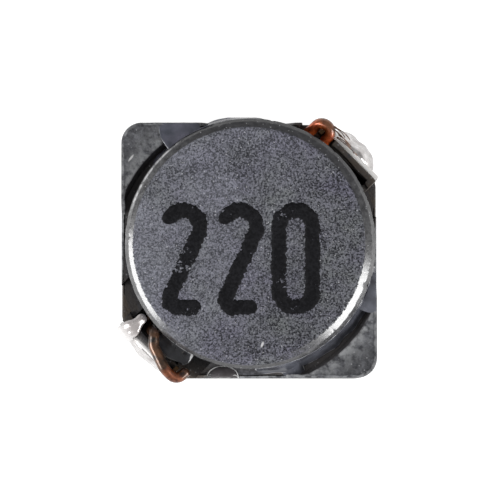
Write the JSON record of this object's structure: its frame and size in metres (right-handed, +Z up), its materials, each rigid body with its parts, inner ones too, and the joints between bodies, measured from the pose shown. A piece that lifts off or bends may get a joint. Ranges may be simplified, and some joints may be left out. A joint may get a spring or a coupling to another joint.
{
  "type": "shielded smd power inductor",
  "caption": "Low square surface-mount power inductor: round ferrite drum glued in a ferrite shield ring, with wire-wrapped, soldered terminals at opposite cut corners.",
  "frame": {"origin": "centre of the square shield ring, on the plane that the terminals' feet stand on", "axes": "+Z up through the drum, towards its marked top face; +X to the right and +Y to the back as the marking reads; the terminals are at the +X+Y and -X-Y corners"},
  "size_m": [0.0062, 0.0062, 0.0028],
  "materials": {
    "ferrite": "pressed and sintered, dull, with fine grain",
    "enamelled_wire": "enamelled copper, glossy",
    "tinned_strip": "tin plated, satin",
    "solder": "bright, flowed",
    "adhesive": "cured clear adhesive over dark ferrite, glossy"
  },
  "bodies": {
    "root": {"shield_ring": "ferrite", "drum_core": "ferrite", "winding": "enamelled_wire", "terminal_a": "tinned_strip", "terminal_b": "tinned_strip", "solder_a": "solder", "solder_b": "solder", "adhesive_back_left": "adhesive", "adhesive_front_right": "adhesive", "adhesive_front_left": "adhesive", "adhesive_front": "adhesive"}
  },
  "joints": []
}
